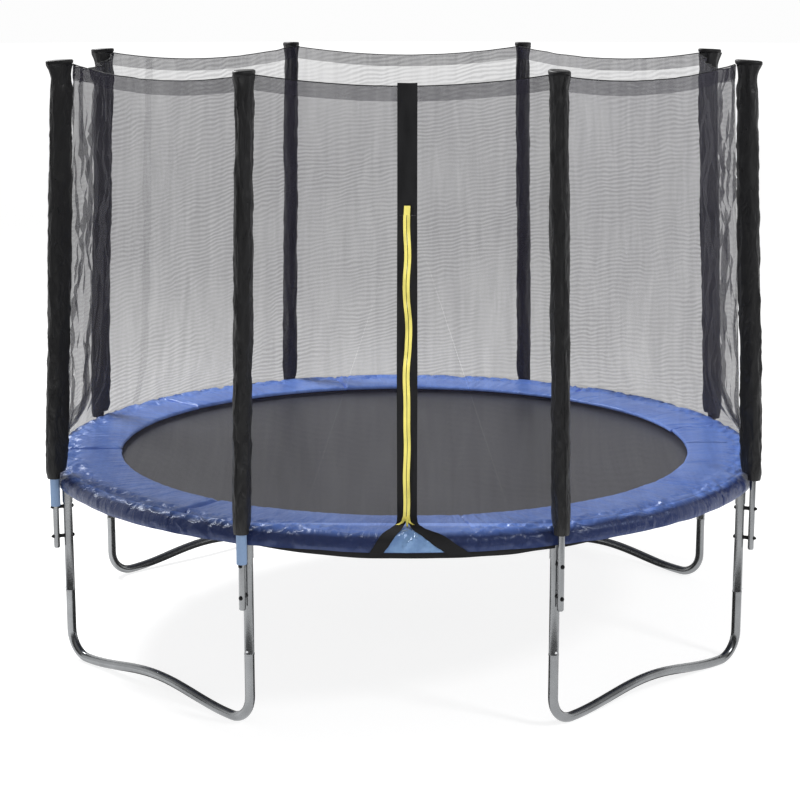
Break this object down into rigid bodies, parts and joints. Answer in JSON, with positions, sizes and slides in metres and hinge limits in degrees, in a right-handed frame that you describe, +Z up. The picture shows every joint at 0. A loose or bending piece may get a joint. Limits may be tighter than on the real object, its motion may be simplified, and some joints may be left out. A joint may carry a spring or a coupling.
{
  "type": "backyard trampoline",
  "caption": "Round backyard trampoline with a padded spring ring, bent tube legs and a zipped net enclosure on sleeved poles.",
  "frame": {"origin": "on the ground under the middle of the mat", "axes": "+Z up; the zipped entrance faces -Y; +X to the right of someone facing the entrance"},
  "size_m": [3.065, 3.065, 2.48],
  "materials": {
    "galvanised_steel": "bright zinc, satin",
    "spring_wire": "zinc plated wire",
    "black_plastic": "moulded, satin",
    "sleeve_cover": "coated black cloth over foam, slight sheen",
    "pad_vinyl": "blue PVC sheet over foam, soft gloss with creases",
    "mat_fabric": "woven polypropylene, dark grey, matt",
    "webbing": "black woven webbing",
    "net_mesh": "black knitted mesh, see-through",
    "slider_metal": "yellow painted slider"
  },
  "bodies": {
    "frame": {"leg_front_left": "galvanised_steel", "leg_front_right": "galvanised_steel", "leg_rear_right": "galvanised_steel", "leg_rear_left": "galvanised_steel", "leg_post_right_rear": "galvanised_steel", "top_rail_right_rear": "galvanised_steel", "pole_right_rear": "galvanised_steel", "pole_bolt_right_rear": "black_plastic", "pole_sleeve_right_rear": "sleeve_cover", "pole_cap_right_rear": "black_plastic", "leg_post_rear_right": "galvanised_steel", "top_rail_rear_right": "galvanised_steel", "pole_rear_right": "galvanised_steel", "pole_bolt_rear_right": "black_plastic", "pole_sleeve_rear_right": "sleeve_cover", "pole_cap_rear_right": "black_plastic", "leg_post_rear_left": "galvanised_steel", "top_rail_rear_left": "galvanised_steel", "pole_rear_left": "galvanised_steel", "pole_bolt_rear_left": "black_plastic", "pole_sleeve_rear_left": "sleeve_cover", "pole_cap_rear_left": "black_plastic", "leg_post_left_rear": "galvanised_steel", "top_rail_left_rear": "galvanised_steel", "pole_left_rear": "galvanised_steel", "pole_bolt_left_rear": "black_plastic", "pole_sleeve_left_rear": "sleeve_cover", "pole_cap_left_rear": "black_plastic", "leg_post_left_front": "galvanised_steel", "top_rail_left_front": "galvanised_steel", "pole_left_front": "galvanised_steel", "pole_bolt_left_front": "black_plastic", "pole_sleeve_left_front": "sleeve_cover", "pole_cap_left_front": "black_plastic", "leg_post_front_left": "galvanised_steel", "top_rail_front_left": "galvanised_steel", "pole_front_left": "galvanised_steel", "pole_bolt_front_left": "black_plastic", "pole_sleeve_front_left": "sleeve_cover", "pole_cap_front_left": "black_plastic", "leg_post_front_right": "galvanised_steel", "top_rail_front_right": "galvanised_steel", "pole_front_right": "galvanised_steel", "pole_bolt_front_right": "black_plastic", "pole_sleeve_front_right": "sleeve_cover", "pole_cap_front_right": "black_plastic", "leg_post_right_front": "galvanised_steel", "top_rail_right_front": "galvanised_steel", "pole_right_front": "galvanised_steel", "pole_bolt_right_front": "black_plastic", "pole_sleeve_right_front": "sleeve_cover", "pole_cap_right_front": "black_plastic", "spring_set": "spring_wire", "safety_pad": "pad_vinyl", "enclosure_net": "net_mesh"},
    "mat_rim": {"mat_edge_band": "webbing"},
    "mat": {"jump_mat": "mat_fabric"},
    "zip": {"zip_slider": "slider_metal"},
    "flap_left": {"door_flap_left": "net_mesh"},
    "flap_right": {"door_flap_right": "net_mesh"}
  },
  "joints": [
    {"name": "mat_rim_drop", "type": "slide", "parent": "frame", "child": "mat_rim", "axis": [0, 0, 1], "range_m": [-0.12, 0]},
    {"name": "mat_dip", "type": "slide", "parent": "mat_rim", "child": "mat", "axis": [0, 0, 1], "range_m": [-0.33, 0], "stiffness_N_per_m": 8000, "springref_m": 0.012},
    {"name": "zip_slide", "type": "slide", "parent": "frame", "child": "zip", "axis": [0, 0.0436, 0.999], "range_m": [0, 1.13]},
    {"name": "door_flap_left_fold", "type": "hinge", "parent": "frame", "child": "flap_left", "pos_m": [-0.3775, -1.38524, 0.803], "axis": [-0.3143, -0.0414, -0.9484], "range_deg": [0, 110]},
    {"name": "door_flap_right_fold", "type": "hinge", "parent": "frame", "child": "flap_right", "pos_m": [0.4175, -1.38524, 0.803], "axis": [-0.3143, 0.0414, 0.9484], "range_deg": [0, 110]}
  ],
  "couplings": [
    {"joint": "mat_rim_drop", "follows": "mat_dip", "ratio": 0.36}
  ]
}
